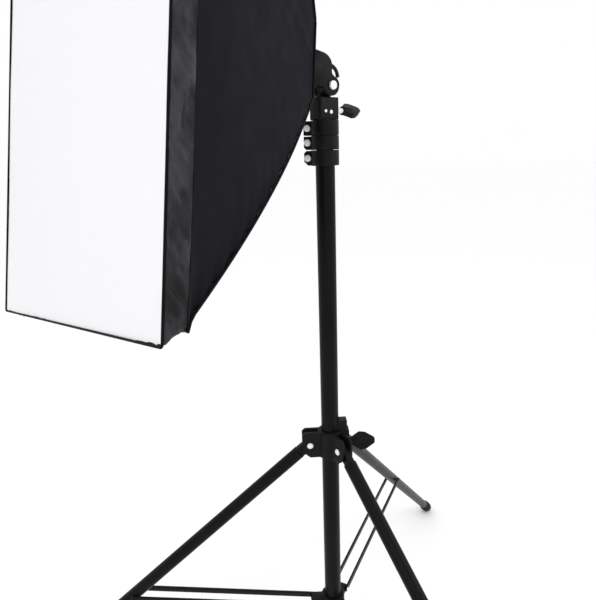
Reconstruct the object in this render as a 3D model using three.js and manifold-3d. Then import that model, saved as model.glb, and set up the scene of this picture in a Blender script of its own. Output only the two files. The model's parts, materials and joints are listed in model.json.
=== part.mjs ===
// A studio softbox on a folding light stand, in millimetres with +Z up.
// The stand is a four-section column on three braced legs. A swivelling, tilting
// head carries a screw-base lamp and a rectangular fabric box held open by four
// sprung rods. The lamp faces -Y. The origin is on the floor, at the middle of
// the object's footprint.

import * as THREE from 'three';
import { mergeVertices } from 'three/addons/utils/BufferGeometryUtils.js';
import Module from 'manifold-3d';

const wasm = await Module();
wasm.setup();

// ---------------------------------------------------------------- dimensions

const GAP = 0.3;                // running gap between neighbouring pieces
const COLUMN_X = -123.98;         // column axis, from the middle of the footprint
const COLUMN_Y = -33.23;

// Column: four nested tubes, 25, 22, 19 and 16 mm across, 1.2 mm wall.
const WALL = 1.2;
const TUBE_R = [12.5, 11, 9.5, 8];
const TUBE_BOTTOM = [224, 252, 262, 272];
const TUBE_TOP = [922, 941, 959.5, 970];

// Clamp collars, one on the top of each of the three outer tubes.
const COLLAR_R = 18;
const COLLAR_BOTTOM = [914, 933.4, 950.9];
const COLLAR_TOP = [933, 950.5, 969];
const COLLAR_BOLT_Z = [923.5, 942.5, 960];
const COLLAR_LUG = 25.5;        // how far a clamp lug reaches from the axis
const COLLAR_LUG_CUT = [[5, 3], [3, 0.5], [0.5, 0.5]];   // its lower and upper outer corners
const COLLAR_LUG_WIDTH = 16;
const COLLAR_SLOT = 2.4;
const COLLAR_BOLT_R = 2.5;
const COLLAR_BOLT_AT = 20.3;
const COLLAR_AZIMUTH = 212;     // the side that the clamp lugs are on

// Legs: 18.5 mm tubes, hinged on a shoulder that slides on the base tube.
const LEG_AZIMUTHS = [233.8, 353.8, 113.8];
const LEG_R = 9.25;
const LEG_SPREAD = 48.88;       // from the vertical, when open
const PIVOT_R = 30;             // leg hinge, from the column axis
const PIVOT_Z = 520.2;
const FOOT_R = 12;
const FOOT_SINK = 2;            // how much the round foot is flattened on the floor
const LEG_LENGTH = (PIVOT_Z - FOOT_R + FOOT_SINK) / Math.cos(rad(LEG_SPREAD));
const TONGUE_R = 7.5;
const TONGUE_HALF = 4.5;
const RIVET_R = 3;

// Shoulder and its locking knob.
const HUB_R = 18;
const HUB_BOTTOM = 500;
const HUB_TOP = 541;
const EAR_THICK = 3.8;
const EAR_REACH = 41;
const KNOB_AZIMUTH = 53.8;
const KNOB_Z = 519.5;
const CLAMP_TOP = 556;
const CLAMP_REACH = 27;

// Braces: a pair of flat bars from the bottom ring to each leg.
const RING_Z = 241;
const RING_PIVOT_R = 28;
const BRACE_ON_LEG = 370;       // from the leg hinge, along the leg
const BRACE_HALF_WIDTH = 4;
const BRACE_THICK = 3;
const BRACE_INSIDE = LEG_R + 0.75;

// Head.
const SOCKET_HALF = 16;
const SOCKET_HALF_X = 11;
const SOCKET_KNOB_OUT = 14;     // bare stud between the block and its knob
const SOCKET_BOTTOM = 969.6;
const SOCKET_TOP = 996;
const SOCKET_KNOB_Z = 981;
const TILT_Z = 1009;            // tilt hinge, on the column axis
const TILT = 11.37;             // nose up, from level
const EAR_R = 12;
const HOLDER_HALF = 15;
const LAMP_RISE = 12.2;         // lamp axis above the tilt hinge
const BARREL_R = 17.5;
const BARREL_FRONT = 80;
const GLAND_R = 2.4;            // rubber sleeve at the lead's way in
const GLAND_X = 9;
const GLAND_Z = 24;

// Fabric box: distances run forward along the lamp axis from above the hinge.
const ROLL = 8;                 // turn of the box about the lamp axis
const HALF_W = 200;
const HALF_H = 300;
const FRONT = 309;
const BAND_DEPTH = 19;
const CLOTH = 2;
const REAR = 44;                // where the four panels end, round the lamp holder
const SEAM = [[24, 24], [151, 208], [290, 360.6]];    // corner seam, depth and radius
const ROD = [[47, 30], [146, 204], [299, 343]];       // rod inside that seam
const ROD_R = 2;

// ------------------------------------------------------------------- helpers

function rad(degrees) {
  return degrees * Math.PI / 180;
}

// Joins shared corners, drops flat triangles and turns the faces outward.
function weld(geometry) {
  const bare = geometry.clone();
  bare.deleteAttribute('normal');
  bare.deleteAttribute('uv');
  const merged = mergeVertices(bare, 1e-4);
  const index = merged.index.array;
  const p = merged.attributes.position;
  const kept = [];
  let volume = 0;
  const a = new THREE.Vector3();
  const b = new THREE.Vector3();
  const c = new THREE.Vector3();
  for (let i = 0; i < index.length; i += 3) {
    const [u, v, w] = [index[i], index[i + 1], index[i + 2]];
    if (u === v || v === w || w === u) continue;
    kept.push(u, v, w);
    a.fromBufferAttribute(p, u);
    b.fromBufferAttribute(p, v);
    c.fromBufferAttribute(p, w);
    volume += a.dot(b.cross(c));
  }
  if (volume < 0) {
    for (let i = 0; i < kept.length; i += 3) {
      [kept[i + 1], kept[i + 2]] = [kept[i + 2], kept[i + 1]];
    }
  }
  merged.setIndex(kept);
  return merged;
}

function toManifold(geometry) {
  const g = weld(geometry);
  return new wasm.Manifold(new wasm.Mesh({
    numProp: 3,
    vertProperties: Float32Array.from(g.attributes.position.array),
    triVerts: Uint32Array.from(g.index.array),
  }));
}

function fromManifold(solid) {
  const mesh = solid.getMesh();
  const g = new THREE.BufferGeometry();
  g.setAttribute('position', new THREE.BufferAttribute(mesh.vertProperties, 3));
  g.setIndex(Array.from(mesh.triVerts));
  return g;
}

function join(first, ...others) {
  return fromManifold(others.reduce((sum, g) => sum.add(toManifold(g)), toManifold(first)));
}

function cut(first, ...others) {
  return fromManifold(others.reduce((sum, g) => sum.subtract(toManifold(g)), toManifold(first)));
}

function box(x0, x1, y0, y1, z0, z1) {
  const g = new THREE.BoxGeometry(x1 - x0, y1 - y0, z1 - z0);
  return g.translate((x0 + x1) / 2, (y0 + y1) / 2, (z0 + z1) / 2);
}

// A round bar along Z.
function bar(radius, z0, z1, sides = 16) {
  const g = new THREE.CylinderGeometry(radius, radius, z1 - z0, sides);
  return g.rotateX(Math.PI / 2).translate(0, 0, (z0 + z1) / 2);
}

// The same, along Y or X.
function barY(radius, y0, y1, sides = 12) {
  return bar(radius, y0, y1, sides).rotateX(-Math.PI / 2);
}

function barX(radius, x0, x1, sides = 12) {
  return bar(radius, x0, x1, sides).rotateY(Math.PI / 2);
}

// A body of revolution about Z, from [radius, z] points.
function turned(points, sides = 20) {
  const profile = points.map(([r, z]) => new THREE.Vector2(r, z));
  return new THREE.LatheGeometry(profile, sides).rotateX(Math.PI / 2);
}

function pipe(outer, inner, z0, z1, sides = 20) {
  return turned([[inner, z0], [outer, z0], [outer, z1], [inner, z1], [inner, z0]], sides);
}

function slab(shape, depth, curveSegments = 8) {
  return new THREE.ExtrudeGeometry(shape, { depth, bevelEnabled: false, curveSegments });
}

function placed(mesh, x, y, z) {
  mesh.position.set(x, y, z);
  return mesh;
}

// ----------------------------------------------------------------- materials

function material(color, roughness, metalness) {
  return new THREE.MeshStandardMaterial({ color, roughness, metalness, flatShading: true });
}

const blackTube = material(0x1c1d20, 0.35, 0.6);
const blackPlastic = material(0x141416, 0.5, 0);
const blackSteel = material(0x202124, 0.4, 0.7);
const chrome = material(0xd8dade, 0.15, 1);
const rubber = material(0x2a2a2b, 0.85, 0);
const nylon = material(0x232328, 0.8, 0);
const bandNylon = material(0x2c2c31, 0.75, 0);
const diffuserCloth = material(0xf4f6f8, 0.9, 0);
const ceramic = material(0xe8e6e0, 0.4, 0);
const fibreglass = material(0x3a3a3c, 0.4, 0);
const lampGlass = material(0xf2f2ee, 0.25, 0);

function piece(name, geometry, look) {
  const mesh = new THREE.Mesh(weld(geometry), look);
  mesh.name = name;
  return mesh;
}

// ---------------------------------------------------------------- wing knobs

// A knob along +Y: a hub with two flat wings, on a stud that reaches back to -studLength.
function wingKnob(length, span, thick, hubR, studR, studLength, headAt = 0, headR = 0) {
  const s = new THREE.Shape();
  s.moveTo(-hubR * 0.7, 0);
  s.lineTo(hubR * 0.7, 0);
  s.lineTo(span / 2, length * 0.38);
  s.lineTo(span / 2 - 1, length * 0.62);
  s.lineTo(span * 0.17, length * 0.97);
  s.lineTo(0, length);
  s.lineTo(-span * 0.17, length * 0.97);
  s.lineTo(-span / 2 + 1, length * 0.62);
  s.lineTo(-span / 2, length * 0.38);
  s.closePath();
  const wings = slab(s, thick, 4).translate(0, 0, -thick / 2);
  const hub = barY(hubR, 0, length * 0.5);
  const stud = barY(studR, -studLength, 1, 10);
  const parts = [wings, hub, stud];
  if (headR > 0) parts.push(barY(headR, -headAt - 2.6, -headAt));
  return join(...parts);
}

// -------------------------------------------------------------------- column

function column() {
  const group = new THREE.Group();
  const names = ['base_tube', 'tube_2', 'tube_3', 'top_tube'];
  names.forEach((name, i) => {
    const r = TUBE_R[i];
    const tube = pipe(r, r - WALL, TUBE_BOTTOM[i], TUBE_TOP[i]);
    group.add(piece(name, tube, i === 3 ? chrome : blackTube));
  });

  const plugR = TUBE_R[0] - WALL - GAP;
  const foot = TUBE_BOTTOM[0];
  const plug = turned([[0, foot - 5], [TUBE_R[0] - 1, foot - 5], [TUBE_R[0], foot - 4],
    [TUBE_R[0], foot - GAP], [plugR, foot - GAP], [plugR, foot + 13], [0, foot + 13]], 16);
  group.add(piece('base_plug', plug, blackPlastic));

  const spigotPlug = TUBE_R[3] - WALL - GAP;
  const spigot = turned([[0, 950], [spigotPlug, 950], [spigotPlug, 970 + GAP], [8, 970 + GAP],
    [8, 977], [6.6, 978.5], [6.6, 983.5], [8, 985], [8, 989.5], [6.8, 991], [0, 991]], 16);
  group.add(piece('spigot', spigot, chrome));

  COLLAR_BOTTOM.forEach((z0, i) => {
    const collar = piece(`collar_${i + 1}`, clampCollar(i), blackPlastic);
    collar.rotation.z = rad(COLLAR_AZIMUTH);
    group.add(collar);
    group.add(collarKnob(i));
  });
  return group;
}

// Grips the next tube up; its lower bore sits on the tube that it is fixed to.
function clampCollar(i) {
  const z0 = COLLAR_BOTTOM[i];
  const z1 = COLLAR_TOP[i];
  const half = COLLAR_LUG_WIDTH / 2;
  const [low, high] = COLLAR_LUG_CUT[i];
  const ring = turned([[0, z0], [COLLAR_R - 0.4, z0], [COLLAR_R, z0 + 0.4], [COLLAR_R, z1 - 0.4],
    [COLLAR_R - 0.4, z1], [0, z1]]);
  const s = new THREE.Shape();
  s.moveTo(8, z0 + 0.4);
  s.lineTo(COLLAR_LUG - low, z0 + 0.4);
  s.lineTo(COLLAR_LUG, z0 + 0.4 + low);
  s.lineTo(COLLAR_LUG, z1 - 0.4 - high);
  s.lineTo(COLLAR_LUG - high, z1 - 0.4);
  s.lineTo(8, z1 - 0.4);
  s.closePath();
  const lug = slab(s, 2 * half).rotateX(Math.PI / 2).translate(0, half, 0);
  const lowerBore = bar(TUBE_R[i] + GAP, z0 - 1, TUBE_TOP[i] + GAP, 20);
  const upperBore = bar(TUBE_R[i + 1] + GAP, z0 - 1, z1 + 1, 20);
  const slot = box(5, COLLAR_LUG + 1, -COLLAR_SLOT / 2, COLLAR_SLOT / 2, z0 - 1, z1 + 1);
  const boltHole = barY(COLLAR_BOLT_R + 0.4, -half - 1, half + 1)
    .translate(COLLAR_BOLT_AT, 0, COLLAR_BOLT_Z[i]);
  return cut(join(ring, lug), lowerBore, upperBore, slot, boltHole);
}

// Lies across the lug, with its wings behind and its round head in front.
function collarKnob(i) {
  const half = COLLAR_LUG_WIDTH / 2 + GAP;
  const knob = wingKnob(17, 15, 6.4, 4.2, COLLAR_BOLT_R, 2 * half + 1, 2 * half, 4.2);
  const turn = new THREE.Group();
  turn.rotation.z = rad(COLLAR_AZIMUTH + 180);
  turn.add(placed(piece(`collar_knob_${i + 1}`, knob, blackPlastic),
    -COLLAR_BOLT_AT, half, COLLAR_BOLT_Z[i]));
  return turn;
}

// ---------------------------------------------------------------------- legs

// Two cheeks for each leg and a clamp block for the knob, on a sleeve.
function shoulderGeometry() {
  let body = turned([[0, HUB_BOTTOM], [HUB_R - 1, HUB_BOTTOM], [HUB_R, HUB_BOTTOM + 1],
    [HUB_R, HUB_TOP - 1], [HUB_R - 1, HUB_TOP], [0, HUB_TOP]]);
  const inner = TONGUE_HALF + GAP + 0.2;
  for (const azimuth of LEG_AZIMUTHS) {
    for (const side of [-1, 1]) {
      const s = new THREE.Shape();
      s.moveTo(10, HUB_BOTTOM + 1);
      s.lineTo(PIVOT_R, HUB_BOTTOM + 1);
      s.lineTo(EAR_REACH, HUB_BOTTOM + 10);
      s.lineTo(EAR_REACH, HUB_TOP - 5);
      s.lineTo(EAR_REACH - 4, HUB_TOP - 1);
      s.lineTo(10, HUB_TOP - 1);
      s.closePath();
      const hole = new THREE.Path();
      hole.absarc(PIVOT_R, PIVOT_Z, RIVET_R + GAP, 0, 2 * Math.PI, true);
      s.holes.push(hole);
      const cheek = slab(s, EAR_THICK, 5).rotateX(Math.PI / 2);
      const y = side > 0 ? inner + EAR_THICK : -inner;
      body = join(body, cheek.translate(0, y, 0).rotateZ(rad(azimuth)));
    }
  }
  const block = join(
    box(8, CLAMP_REACH, -8, 8, HUB_BOTTOM + 3, HUB_TOP),
    box(10, CLAMP_REACH - 3, -7, 7, HUB_TOP - 2, CLAMP_TOP),
  ).rotateZ(rad(KNOB_AZIMUTH));
  const bore = bar(TUBE_R[0] + 0.4, HUB_BOTTOM - 1, CLAMP_TOP + 1, 20);
  const screw = barX(3.5, 5, CLAMP_REACH + 1).translate(0, 0, KNOB_Z).rotateZ(rad(KNOB_AZIMUTH));
  return cut(join(body, block), bore, screw);
}

function legFitting() {
  const s = new THREE.Shape();
  s.absarc(0, 0, TONGUE_R, 0, Math.PI, false);
  s.lineTo(-TONGUE_R, -22);
  s.lineTo(TONGUE_R, -22);
  s.closePath();
  const tongue = slab(s, 2 * TONGUE_HALF, 5).rotateX(Math.PI / 2).translate(0, TONGUE_HALF, 0);
  const shoulderDisc = bar(LEG_R, -24, -21);
  const plug = bar(LEG_R - WALL - GAP, -42, -23);
  const hole = barY(RIVET_R + GAP, -10, 10);
  return cut(join(tongue, shoulderDisc, plug), hole);
}

function footGeometry() {
  const sleeve = bar(FOOT_R, -LEG_LENGTH, -LEG_LENGTH + 32);
  const ball = new THREE.SphereGeometry(FOOT_R, 16, 8).rotateX(Math.PI / 2)
    .translate(0, 0, -LEG_LENGTH);
  const bore = bar(LEG_R + GAP, -LEG_LENGTH + 5, -LEG_LENGTH + 40);
  const floor = box(0, 1400, -100, 100, -100, 0)
    .translate(-PIVOT_R, 0, -PIVOT_Z)
    .rotateY(rad(LEG_SPREAD));
  return cut(join(sleeve, ball), bore, floor);
}

function rivet(half, headR = 4.6, headHeight = 2.2, radius = RIVET_R) {
  const profile = [[0, -half - headHeight], [headR * 0.7, -half - headHeight],
    [headR, -half - headHeight * 0.4], [headR, -half], [radius, -half], [radius, half],
    [headR, half], [headR, half + headHeight * 0.4], [headR * 0.7, half + headHeight],
    [0, half + headHeight]];
  return turned(profile, 10).rotateX(-Math.PI / 2);
}

// A brace runs from the ring pivot to a point on the open leg.
function braceLine() {
  const spread = rad(LEG_SPREAD);
  const dx = PIVOT_R + BRACE_ON_LEG * Math.sin(spread) - RING_PIVOT_R;
  const dz = PIVOT_Z - BRACE_ON_LEG * Math.cos(spread) - RING_Z;
  return { length: Math.hypot(dx, dz), rise: Math.atan2(dz, dx) };
}

function braceBar(side) {
  const { length } = braceLine();
  const s = new THREE.Shape();
  s.absarc(0, 0, BRACE_HALF_WIDTH, Math.PI / 2, 1.5 * Math.PI, false);
  s.absarc(length, 0, BRACE_HALF_WIDTH, -Math.PI / 2, Math.PI / 2, false);
  s.closePath();
  const hole = new THREE.Path();
  hole.absarc(0, 0, 2 + GAP, 0, 2 * Math.PI, true);
  s.holes.push(hole);
  const flat = slab(s, BRACE_THICK, 4).rotateX(Math.PI / 2);
  const y = side > 0 ? BRACE_INSIDE + BRACE_THICK : -BRACE_INSIDE;
  const y0 = side > 0 ? BRACE_INSIDE + 1 : -BRACE_INSIDE - BRACE_THICK - 1.6;
  const y1 = side > 0 ? BRACE_INSIDE + BRACE_THICK + 1.6 : -BRACE_INSIDE - 1;
  const head = barY(3.4, y0, y1, 10).translate(length, 0, 0);
  return join(flat.translate(0, y, 0), head);
}

function ringGeometry() {
  let body = turned([[0, RING_Z - 12], [HUB_R - 1, RING_Z - 12], [HUB_R, RING_Z - 11],
    [HUB_R, RING_Z + 11], [HUB_R - 1, RING_Z + 12], [0, RING_Z + 12]]);
  const half = BRACE_INSIDE - GAP;
  for (const azimuth of LEG_AZIMUTHS) {
    const s = new THREE.Shape();
    s.moveTo(10, -7);
    s.lineTo(RING_PIVOT_R, -7);
    s.absarc(RING_PIVOT_R, 0, 7, -Math.PI / 2, Math.PI / 2, false);
    s.lineTo(10, 7);
    s.closePath();
    const hole = new THREE.Path();
    hole.absarc(RING_PIVOT_R, 0, 2 + GAP, 0, 2 * Math.PI, true);
    s.holes.push(hole);
    const lug = slab(s, 2 * half, 4).rotateX(Math.PI / 2)
      .translate(0, half, RING_Z)
      .rotateZ(rad(azimuth));
    body = join(body, lug);
  }
  return cut(body, bar(TUBE_R[0] + GAP, RING_Z - 13, RING_Z + 13, 20));
}

function legs() {
  const group = new THREE.Group();
  group.add(piece('shoulder', shoulderGeometry(), blackPlastic));
  group.add(piece('brace_ring', ringGeometry(), blackPlastic));

  const knobTurn = new THREE.Group();
  knobTurn.rotation.z = rad(KNOB_AZIMUTH - 90);
  const knob = wingKnob(36, 26, 8, 6.5, 3, CLAMP_REACH - TUBE_R[0] - 1);
  const knobMesh = placed(piece('shoulder_knob', knob, blackPlastic), 0, CLAMP_REACH + 2.5, KNOB_Z);
  knobMesh.rotation.y = rad(65);
  knobTurn.add(knobMesh);
  group.add(knobTurn);

  const pinHalf = TONGUE_HALF + GAP + 0.2 + EAR_THICK + GAP;
  const brace = braceLine();
  LEG_AZIMUTHS.forEach((azimuth, i) => {
    const k = i + 1;
    const side = new THREE.Group();
    side.rotation.z = rad(azimuth);

    const leg = new THREE.Group();
    leg.position.set(PIVOT_R, 0, PIVOT_Z);
    leg.rotation.y = -rad(LEG_SPREAD);
    const tube = cut(pipe(LEG_R, LEG_R - WALL, -LEG_LENGTH + 5 + GAP, -24 - GAP, 16),
      barY(2 + GAP, -20, 20, 10).translate(0, 0, -BRACE_ON_LEG));
    leg.add(piece(`leg_tube_${k}`, tube, blackTube));
    leg.add(piece(`leg_fitting_${k}`, legFitting(), blackPlastic));
    leg.add(piece(`foot_${k}`, footGeometry(), rubber));
    const cross = barY(2, -BRACE_INSIDE + GAP, BRACE_INSIDE - GAP, 10);
    leg.add(placed(piece(`brace_pin_${k}`, cross, chrome), 0, 0, -BRACE_ON_LEG));
    side.add(leg);

    side.add(placed(piece(`leg_rivet_${k}`, rivet(pinHalf), chrome), PIVOT_R, 0, PIVOT_Z));

    const strut = new THREE.Group();
    strut.position.set(RING_PIVOT_R, 0, RING_Z);
    strut.rotation.y = -brace.rise;
    strut.add(piece(`brace_${k}a`, braceBar(-1), blackSteel));
    strut.add(piece(`brace_${k}b`, braceBar(1), blackSteel));
    side.add(strut);

    const ringPin = rivet(BRACE_INSIDE + BRACE_THICK + GAP, 3.4, 1.6, 2);
    side.add(placed(piece(`ring_pin_${k}`, ringPin, chrome), RING_PIVOT_R, 0, RING_Z));
    group.add(side);
  });
  return group;
}

// ---------------------------------------------------------------------- head

// A block that drops over the spigot, with a round tongue for the tilt hinge.
function socketGeometry() {
  const h = SOCKET_HALF;
  const w = SOCKET_HALF_X;
  const c = 2;
  const s = new THREE.Shape();
  s.moveTo(-w + c, -h);
  s.lineTo(w - c, -h);
  s.lineTo(w, -h + c);
  s.lineTo(w, h - c);
  s.lineTo(w - c, h);
  s.lineTo(-w + c, h);
  s.lineTo(-w, h - c);
  s.lineTo(-w, -h + c);
  s.closePath();
  const block = slab(s, SOCKET_TOP - SOCKET_BOTTOM).translate(0, 0, SOCKET_BOTTOM);
  const tongue = join(barX(11, -4, 4, 20).translate(0, 0, TILT_Z),
    box(-4, 4, -8, 8, SOCKET_TOP - 2, TILT_Z));
  const bore = bar(8 + GAP, SOCKET_BOTTOM - 1, 992, 20);
  const screw = barY(3.5, 5, h + 1, 12).translate(0, 0, SOCKET_KNOB_Z);
  const pivot = barX(3 + GAP, -6, 6).translate(0, 0, TILT_Z);
  return cut(join(block, tongue), bore, screw, pivot);
}

// Two hinge cheeks under a rounded housing, with the lamp's barrel in front.
function holderGeometry() {
  const s = new THREE.Shape();
  s.moveTo(-EAR_R, -6);
  s.absarc(0, 0, EAR_R, rad(207), rad(360), false);
  s.lineTo(EAR_R, 3);
  s.quadraticCurveTo(EAR_R - 1, 9, 3, 11);
  s.quadraticCurveTo(-3, 12, -3, 17);
  s.quadraticCurveTo(-3, 31, -18, 33);
  s.lineTo(-32, 33);
  s.lineTo(-32, -5);
  s.lineTo(-14, -5);
  s.closePath();
  const housing = slab(s, 2 * HOLDER_HALF, 10)
    .rotateY(Math.PI / 2)
    .rotateX(Math.PI / 2)
    .translate(-HOLDER_HALF, 0, 0);
  const barrel = barY(BARREL_R, -BARREL_FRONT, -20, 24).translate(0, 0, LAMP_RISE);
  const bore = barY(BARREL_R - 1.6, -BARREL_FRONT - 1, -42, 24).translate(0, 0, LAMP_RISE);
  const slot = box(-4.6, 4.6, -12.6, EAR_R + 4, -14, 0);
  const slotRound = barX(12.6, -4.6, 4.6, 20);
  const pivot = barX(3 + GAP, -20, 20);
  const leadHole = barY(GLAND_R + 0.4, -16, 14).translate(GLAND_X, 0, GLAND_Z);
  return cut(join(housing, barrel), bore, slot, slotRound, pivot, leadHole);
}

function tiltBolt() {
  const shaft = barX(3, -HOLDER_HALF - 8, HOLDER_HALF + 1);
  const head = barX(5.2, HOLDER_HALF + GAP, HOLDER_HALF + 3.6, 14);
  return join(shaft, head);
}

// Threaded on the far end of the tilt bolt.
function tiltKnob() {
  const knob = wingKnob(28, 26, 7, 7, 5, 2).rotateZ(Math.PI / 2);
  return cut(knob.translate(-HOLDER_HALF - 2.5, 0, 0), barX(3 + GAP, -HOLDER_HALF - 9, 0));
}

// A rubber sleeve that bends down from the back of the housing.
function glandGeometry() {
  const path = new THREE.CatmullRomCurve3([
    new THREE.Vector3(GLAND_X, -14, GLAND_Z),
    new THREE.Vector3(GLAND_X, 0, GLAND_Z),
    new THREE.Vector3(GLAND_X, 9, 20),
    new THREE.Vector3(GLAND_X, 13, 13),
  ]);
  const s = new THREE.Shape();
  s.absarc(0, 0, GLAND_R, 0, 2 * Math.PI, false);
  return new THREE.ExtrudeGeometry(s, { steps: 8, extrudePath: path, curveSegments: 3 });
}

function lampSocket() {
  const r = BARREL_R - 1.6 - GAP;
  return turned([[0, -43], [r, -43], [r, -BARREL_FRONT + 1], [13.6, -BARREL_FRONT + 1],
    [13.6, -50], [0, -50], [0, -43]]).rotateX(-Math.PI / 2);
}

// Screw cap, ballast and the outline of the coiled glass tube.
function bulbGeometry() {
  const profile = [[0, 52], [8, 52], [13.2, 56], [13.2, 80.5], [17, 85], [26, 92], [28, 104],
    [26, 122], [20, 125], [20, 127], [31, 131], [33, 150], [33, 205], [29, 226], [18, 236], [0, 238]];
  return turned(profile, 16).rotateX(Math.PI / 2);
}

// ---------------------------------------------------------------- fabric box

// Point on a curve given by three [depth, radius] controls.
function onCurve(controls, u) {
  const [a, b, c] = controls;
  const mix = (i) => (1 - u) * (1 - u) * a[i] + 2 * u * (1 - u) * b[i] + u * u * c[i];
  return { depth: mix(0), radius: mix(1) };
}

function seamStart() {
  let u = 0;
  while (onCurve(SEAM, u).depth < REAR) u += 0.001;
  return u;
}

// Skins a row of four-cornered sections into one closed body.
function loft(sections) {
  const positions = [];
  const index = [];
  for (const section of sections) {
    for (const p of section) positions.push(...p);
  }
  const n = sections[0].length;
  for (let i = 0; i + 1 < sections.length; i += 1) {
    for (let j = 0; j < n; j += 1) {
      const a = i * n + j;
      const b = i * n + (j + 1) % n;
      index.push(a, b, b + n, a, b + n, a + n);
    }
  }
  const last = (sections.length - 1) * n;
  for (let j = 1; j + 1 < n; j += 1) {
    index.push(0, j + 1, j, last, last + j, last + j + 1);
  }
  const g = new THREE.BufferGeometry();
  g.setAttribute('position', new THREE.Float32BufferAttribute(positions, 3));
  g.setIndex(index);
  return g;
}

// One of the four sides. Its length at each depth runs between two corner seams.
function panelGeometry(upright, sign) {
  const corner = Math.hypot(HALF_W, HALF_H);
  const start = seamStart();
  const stations = 12;
  const sections = [];
  for (let i = 0; i <= stations; i += 1) {
    const { depth, radius } = onCurve(SEAM, start + (1 - start) * i / stations);
    const out = (upright ? HALF_W : HALF_H) * radius / corner * sign;
    const half = (upright ? HALF_H : HALF_W) * radius / corner - GAP;
    const inside = out - CLOTH * sign;
    const y = -depth;
    const flat = [[out, -half], [out, half], [inside, half - CLOTH], [inside, -half + CLOTH]];
    sections.push(flat.map(([o, l]) => (upright ? [o, y, l] : [l, y, o])));
  }
  return loft(sections);
}

function rectangle(halfW, halfH, corner, target = new THREE.Shape()) {
  target.moveTo(-halfW + corner, -halfH);
  target.lineTo(halfW - corner, -halfH);
  target.absarc(halfW - corner, -halfH + corner, corner, -Math.PI / 2, 0, false);
  target.absarc(halfW - corner, halfH - corner, corner, 0, Math.PI / 2, false);
  target.absarc(-halfW + corner, halfH - corner, corner, Math.PI / 2, Math.PI, false);
  target.absarc(-halfW + corner, -halfH + corner, corner, Math.PI, 1.5 * Math.PI, false);
  target.closePath();
  return target;
}

function bandGeometry() {
  const s = rectangle(HALF_W, HALF_H, 4);
  s.holes.push(rectangle(HALF_W - CLOTH, HALF_H - CLOTH, 2, new THREE.Path()));
  return slab(s, BAND_DEPTH - GAP, 3).rotateX(Math.PI / 2).translate(0, -FRONT + BAND_DEPTH - GAP, 0);
}

function diffuserGeometry() {
  const s = rectangle(HALF_W - CLOTH - 0.4, HALF_H - CLOTH - 0.4, 2);
  return slab(s, 1.5, 3).rotateX(Math.PI / 2).translate(0, -FRONT + 6.5, 0);
}

// Four angled tubes on a ring that turns on the lamp's barrel.
function speedRing() {
  let body = turned([[0, -55], [21.5, -55], [21.5, -39], [0, -39]], 24).rotateX(-Math.PI / 2);
  const [a, b] = ROD;
  const run = Math.hypot(b[0] - a[0], b[1] - a[1]);
  const along = [(b[0] - a[0]) / run, (b[1] - a[1]) / run];
  const holes = [];
  for (const direction of rodDirections()) {
    const at = (s) => new THREE.Vector3(
      direction[0] * (a[1] + along[1] * s), -(a[0] + along[0] * s), direction[1] * (a[1] + along[1] * s));
    body = join(body, stick(at(-11), at(14), 4.2, 10));
    holes.push(stick(at(-1), at(16), ROD_R + GAP + 0.1, 10));
  }
  const bore = barY(BARREL_R + GAP, -60, -30, 24);
  return cut(body, bore, ...holes);
}

function rodDirections() {
  const corner = Math.hypot(HALF_W, HALF_H);
  const c = HALF_W / corner;
  const s = HALF_H / corner;
  return [[c, s], [-c, s], [-c, -s], [c, -s]];
}

function stick(from, to, radius, sides) {
  const g = new THREE.CylinderGeometry(radius, radius, from.distanceTo(to), sides);
  const turn = new THREE.Quaternion().setFromUnitVectors(
    new THREE.Vector3(0, 1, 0), to.clone().sub(from).normalize());
  g.applyQuaternion(turn);
  return g.translate((from.x + to.x) / 2, (from.y + to.y) / 2, (from.z + to.z) / 2);
}

function rodGeometry(direction) {
  const [a, b, c] = ROD.map(([depth, radius]) => new THREE.Vector3(
    direction[0] * radius, -depth, direction[1] * radius));
  const path = new THREE.QuadraticBezierCurve3(a, b, c);
  const s = new THREE.Shape();
  s.absarc(0, 0, ROD_R, 0, 2 * Math.PI, false);
  return new THREE.ExtrudeGeometry(s, { steps: 10, extrudePath: path, curveSegments: 4 });
}

function head() {
  const group = new THREE.Group();
  group.add(piece('stand_socket', socketGeometry(), blackPlastic));
  const knobAt = SOCKET_HALF + SOCKET_KNOB_OUT;
  const knob = wingKnob(30, 22, 7, 5.5, 3, knobAt - 9);
  const knobMesh = placed(piece('socket_knob', knob, blackPlastic), 0, knobAt, SOCKET_KNOB_Z);
  knobMesh.rotation.y = rad(40);
  group.add(knobMesh);

  const holder = new THREE.Group();
  holder.position.z = TILT_Z;
  holder.rotation.x = -rad(TILT);
  holder.add(piece('lamp_holder_body', holderGeometry(), blackPlastic));
  holder.add(piece('tilt_bolt', tiltBolt(), chrome));
  holder.add(piece('tilt_knob', tiltKnob(), blackPlastic));
  holder.add(piece('cable_gland', glandGeometry(), rubber));

  const lamp = new THREE.Group();
  lamp.position.z = LAMP_RISE;
  lamp.add(piece('lamp_socket', lampSocket(), ceramic));
  lamp.add(piece('bulb', bulbGeometry(), lampGlass));

  const softbox = new THREE.Group();
  softbox.rotation.y = -rad(ROLL);
  softbox.add(piece('speed_ring', speedRing(), blackSteel));
  rodDirections().forEach((direction, i) => {
    softbox.add(piece(`rod_${i + 1}`, rodGeometry(direction), fibreglass));
  });
  softbox.add(piece('panel_right', panelGeometry(true, 1), nylon));
  softbox.add(piece('panel_left', panelGeometry(true, -1), nylon));
  softbox.add(piece('panel_top', panelGeometry(false, 1), nylon));
  softbox.add(piece('panel_bottom', panelGeometry(false, -1), nylon));
  softbox.add(piece('front_band', bandGeometry(), bandNylon));
  softbox.add(piece('front_diffuser', diffuserGeometry(), diffuserCloth));
  lamp.add(softbox);
  holder.add(lamp);
  group.add(holder);
  return group;
}

// ------------------------------------------------------------------ assembly

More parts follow.
